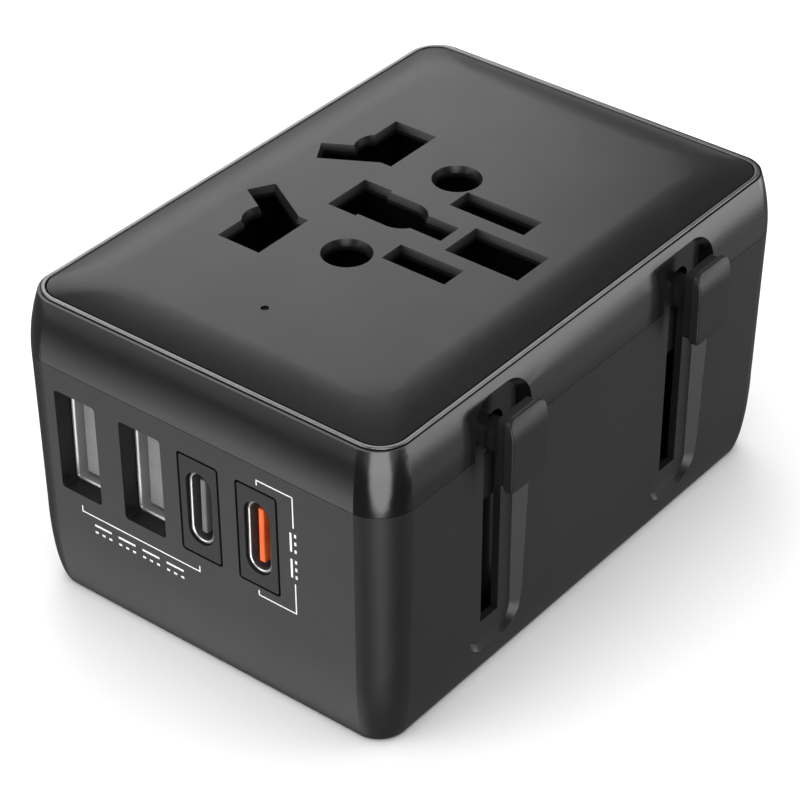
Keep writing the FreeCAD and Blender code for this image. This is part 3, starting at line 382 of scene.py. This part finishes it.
def front_y(z):
    """The housing's front face at a height, in millimetres."""
    return -(FRONT_Y_AT_SEAM - FRONT_DRAFT * (SEAM_Z - z) / (SEAM_Z - CURVE_Z))


def bar(x0, x1, z0, z1):
    """The four corners of an upright rectangle."""
    return [(x0, z0), (x1, z0), (x1, z1), (x0, z1)]


def h_line(x0, x1, z):
    """A level line that runs half its width past both ends."""
    return bar(min(x0, x1) - LINE_W / 2, max(x0, x1) + LINE_W / 2, z - LINE_W / 2, z + LINE_W / 2)


def v_line(x, z0, z1):
    """An upright line between two heights."""
    return bar(x - LINE_W / 2, x + LINE_W / 2, min(z0, z1), max(z0, z1))


def printed(name, outlines):
    """A print of thin ink on the front face, from outlines in its plane."""
    bm = bmesh.new()
    for outline in outlines:
        rings = []
        for depth in (-INK_SUNK, INK_PROUD):
            places = [Vector((x, front_y(z) - depth, z)) * MM for x, z in outline]
            rings.append([bm.verts.new(place) for place in places])
        back, face = rings
        bm.faces.new(face)
        bm.faces.new(back[::-1])
        for k in range(len(outline)):
            j = (k + 1) % len(outline)
            bm.faces.new((back[k], back[j], face[j], face[k]))
    bmesh.ops.recalc_face_normals(bm, faces=bm.faces)
    mesh = bpy.data.meshes.new(name)
    bm.to_mesh(mesh)
    bm.free()
    piece = bpy.data.objects.new(name, mesh)
    bpy.context.scene.collection.objects.link(piece)
    mesh.materials.append(PRINT_WHITE)
    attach(piece, "housing")
    return piece


# ---------------------------------------------------------------- studio
def area_light(name, place, target, width, height, power):
    """A rectangular soft light at a place, turned to a target."""
    light = bpy.data.lights.new(name, "AREA")
    light.shape = "RECTANGLE"
    light.size = width
    light.size_y = height
    light.energy = power
    lamp = bpy.data.objects.new(name, light)
    bpy.context.scene.collection.objects.link(lamp)
    lamp.location = place
    lamp.rotation_euler = (Vector(target) - Vector(place)).to_track_quat("-Z", "Y").to_euler()
    return lamp


# Soft patches of light in the world. Each has a direction, the cosines at which it starts and is
# full, and its strength. Entries of four numbers map a range of heights, or of FRONT_END's place
# along the front, to a range of strength. The two shades take light away, except the strip's.
FRONT_PATCH = ((-0.45, -0.62, -0.75), 0.88, 0.985, 1.06)
FRONT_BAND_DIP = (-0.57, -0.47, 1.0, 0.62)
FRONT_END = (0.04, 0.17, 1.0, 0.0)
ALONG_FRONT = (0.788, -0.616, 0.0)
BAND_PATCH = ((0.55, 0.70, -0.4), 0.9, 0.98, 0.27)
BAND_PATCH_FOOT = (-0.56, -0.48, 0.0, 1.0)
SLIDER_SIDE_PATCH = ((0.5, 0.64, -0.62), 0.8, 0.97, 0.07)
FRONT_FOOT_PATCH = ((-0.42, -0.5, -0.76), 0.86, 0.98, 0.5)
RIM_PATCH = ((-0.5, -0.8, 0.3), 0.82, 0.97, 2.8)
RIM_PATCH_FOOT = (-0.15, -0.11, 0.0, 1.0)
FAR_PATCH = ((0.75, 0.64, 0.17), 0.88, 0.98, 2.0)
CORNER_STRIP = ((0.66, -0.72, -0.18), 0.865, 0.94, 5.2)
CORNER_SHADES = ((-0.13, -0.93, -0.42), (0.94, 0.033, -0.42))
SHADE_REACH = (0.90, 0.975, -0.97)

# The bright wall that ends just above the horizon. Its foot reaches lower where the sliders face.
WALL_REACH = ((0.74, 0.64, -0.3), 0.3, 0.9, 0.105)
WALL_FOOT = (-0.29, -0.18, 0.0, 1.0)
WALL_HEAD = (-0.03, 0.08, 1.0, 0.0)
WALL_GLOW = ((0.74, 0.64, -0.2), 0.3, 0.9, 1.3)
WALL_BASE = 0.8
AMBIENT = (-0.1, 0.1, 0.15, 0.12)


def studio_world():
    """Soft light from all round: a dim surround, a bright wall up to the horizon and patches."""
    world = bpy.data.worlds.new("studio")
    bpy.context.scene.world = world
    world.use_nodes = True
    g = Graph(world.node_tree)
    direction = g.add("ShaderNodeTexCoord").outputs["Generated"]
    height = g.add("ShaderNodeSeparateXYZ", {"Vector": direction}).outputs["Z"]

    def smooth(value, low, high, start, end):
        found = g.add("ShaderNodeMapRange", {"Value": value, "From Min": low, "From Max": high,
                                             "To Min": start, "To Max": end},
                      interpolation_type="SMOOTHSTEP")
        return found.outputs["Result"]

    def along(axis):
        return g.add("ShaderNodeVectorMath", {0: direction, 1: axis},
                     operation="DOT_PRODUCT").outputs["Value"]

    def patch(axis, start, full, amount):
        return smooth(along(Vector(axis).normalized()), start, full, 0.0, amount)

    def product(first, second):
        return g.combine("MULTIPLY", first, second)

    def plus(first, second):
        return g.combine("ADD", first, second)

    before_front = product(patch(*FRONT_PATCH), smooth(along(ALONG_FRONT), *FRONT_END))
    before_front = product(before_front, smooth(height, *FRONT_BAND_DIP))
    reached = plus(height, patch(*WALL_REACH))
    wall = product(smooth(reached, *WALL_FOOT), smooth(height, *WALL_HEAD))
    total = product(wall, plus(patch(*WALL_GLOW), WALL_BASE))
    for part in (smooth(height, *AMBIENT),
                 before_front,
                 product(patch(*BAND_PATCH), smooth(height, *BAND_PATCH_FOOT)),
                 patch(*SLIDER_SIDE_PATCH),
                 patch(*FRONT_FOOT_PATCH),
                 product(smooth(height, *RIM_PATCH_FOOT), patch(*RIM_PATCH)),
                 patch(*FAR_PATCH)):
        total = plus(total, part)
    for axis in CORNER_SHADES:
        total = product(total, plus(patch(axis, *SHADE_REACH), 1.0))
    total = plus(total, patch(*CORNER_STRIP))
    background = g.add("ShaderNodeBackground", {"Color": (1, 1, 1, 1), "Strength": total})
    g.add("ShaderNodeOutputWorld", {"Surface": background.outputs["Background"]})


FLOOR_HALF, FLOOR_DROP = 6.0, 0.00005
PAPER_DARK, PAPER_LIGHT = (0.93, 0.93, 0.93), (0.95, 0.95, 0.95)
PAPER_CLOUD_SCALE, FIBRE_SCALE, FIBRE_HEIGHT, FIBRE_STRENGTH = 9.0, 900.0, 2e-5, 0.3


def pale_floor():
    """A sheet of pale paper just under the object, that gloss doesn't mirror."""
    material, g, p = new_material("floor_paper")
    fibres = g.noise(p, FIBRE_SCALE, 4.0)
    close_material(g, {
        "Base Color": g.blend(g.noise(p, PAPER_CLOUD_SCALE), LOW, HIGH, PAPER_DARK, PAPER_LIGHT),
        "Roughness": 0.9,
        "Specular IOR Level": 0.1,
        "Normal": g.bump(fibres, FIBRE_HEIGHT, FIBRE_STRENGTH)})
    mesh = bpy.data.meshes.new("floor")
    signs = ((-1, -1), (1, -1), (1, 1), (-1, 1))
    corners = [(x * FLOOR_HALF, y * FLOOR_HALF, 0) for x, y in signs]
    mesh.from_pydata(corners, [], [(0, 1, 2, 3)])
    mesh.materials.append(material)
    floor = bpy.data.objects.new("floor", mesh)
    bpy.context.scene.collection.objects.link(floor)
    floor.location.z = -FLOOR_DROP
    floor.visible_glossy = False


CAMERA_PLACE = (0.1595, -0.2053, 0.2003)
CAMERA_RIGHT = (0.78633, 0.61781, 0.00155)
CAMERA_UP = (-0.36005, 0.45621, 0.81378)
CAMERA_LENS, CAMERA_SENSOR, CAMERA_NEAR = 129.5, 36.0, 0.01


def studio_camera():
    """A long lens above the corner between the USB face and the slider side."""
    camera = bpy.data.cameras.new("camera")
    camera.lens = CAMERA_LENS
    camera.sensor_width = CAMERA_SENSOR
    camera.clip_start = CAMERA_NEAR
    holder = bpy.data.objects.new("camera", camera)
    bpy.context.scene.collection.objects.link(holder)
    right, up = Vector(CAMERA_RIGHT), Vector(CAMERA_UP)
    back = right.cross(up).normalized()
    turn = Matrix((right, up, back)).transposed().to_4x4()
    holder.matrix_world = Matrix.Translation(CAMERA_PLACE) @ turn
    bpy.context.scene.camera = holder


# ---------------------------------------------------------------- the scene
dress_cad_nodes()

# The bracket under the first three ports, then the one round the last port, with a gap for a sign
WIDE_X0, WIDE_X1, WIDE_Z, WIDE_TICK = -16.65, -0.06, 12.55, 0.74
SIDE_X, SIDE_Z0, SIDE_Z1, SIDE_TICK = 13.0, 13.58, 28.52, 0.62
SIDE_TOP_X, SIDE_FOOT_X = 8.37, 8.05
SIDE_GAP_Z0, SIDE_GAP_Z1 = 17.48, 24.67
wide_bracket = [h_line(WIDE_X0, WIDE_X1, WIDE_Z),
                v_line(WIDE_X0, WIDE_Z, WIDE_Z + WIDE_TICK),
                v_line(WIDE_X1, WIDE_Z, WIDE_Z + WIDE_TICK)]
side_bracket = [h_line(SIDE_TOP_X, SIDE_X, SIDE_Z1),
                v_line(SIDE_TOP_X, SIDE_Z1 - SIDE_TICK, SIDE_Z1),
                v_line(SIDE_X, SIDE_GAP_Z1, SIDE_Z1),
                v_line(SIDE_X, SIDE_Z0, SIDE_GAP_Z0),
                h_line(SIDE_FOOT_X, SIDE_X, SIDE_Z0),
                v_line(SIDE_FOOT_X, SIDE_Z0, SIDE_Z0 + SIDE_TICK)]
printed("port_brackets", wide_bracket + side_bracket)

# Direct current: a bar and three dashes, under the wide bracket and in the side one's gap
SIGN_LENGTH, SIGN_STROKE, SIGN_GAP = 2.4, 0.26, 0.66
DASH_LENGTH, DASH_STEP = 0.42, 0.99
FLAT_SIGNS, FLAT_SIGN_Z = (-13.8, -10.4, -7.0, -3.6), 11.28
UPRIGHT_SIGNS, UPRIGHT_SIGN_X = (19.4, 22.75), 12.48


def sign_spans(middle):
    """The start and end of a sign's bar and of its three dashes, along the sign."""
    start = middle - SIGN_LENGTH / 2
    dashes = [(start + k * DASH_STEP, start + k * DASH_STEP + DASH_LENGTH) for k in range(3)]
    return (start, start + SIGN_LENGTH), dashes


flat_sign, upright_sign = [], []
for middle in FLAT_SIGNS:
    whole, dashes = sign_spans(middle)
    flat_sign.append(bar(*whole, FLAT_SIGN_Z, FLAT_SIGN_Z + SIGN_STROKE))
    dash_z = FLAT_SIGN_Z - SIGN_GAP - SIGN_STROKE
    flat_sign += [bar(*dash, dash_z, dash_z + SIGN_STROKE) for dash in dashes]
for middle in UPRIGHT_SIGNS:
    whole, dashes = sign_spans(middle)
    upright_sign.append(bar(UPRIGHT_SIGN_X, UPRIGHT_SIGN_X + SIGN_STROKE, *whole))
    dash_x = UPRIGHT_SIGN_X + SIGN_STROKE + SIGN_GAP / 2
    upright_sign += [bar(dash_x, dash_x + SIGN_STROKE, *dash) for dash in dashes]
printed("current_sign", flat_sign)
printed("fast_charge_sign", upright_sign)

studio_world()
pale_floor()
studio_camera()
LIT_POINT = (0, 0, 0.02)
area_light("back_softbox", place=(-0.26, 0.23, 0.22), target=LIT_POINT,
           width=0.24, height=0.20, power=0.30)
overhead = area_light("overhead", place=(0.0, 0.0, 1.0), target=LIT_POINT,
                      width=1.4, height=1.4, power=16.0)
overhead.visible_glossy = False

bpy.context.scene.view_settings.view_transform = "Standard"
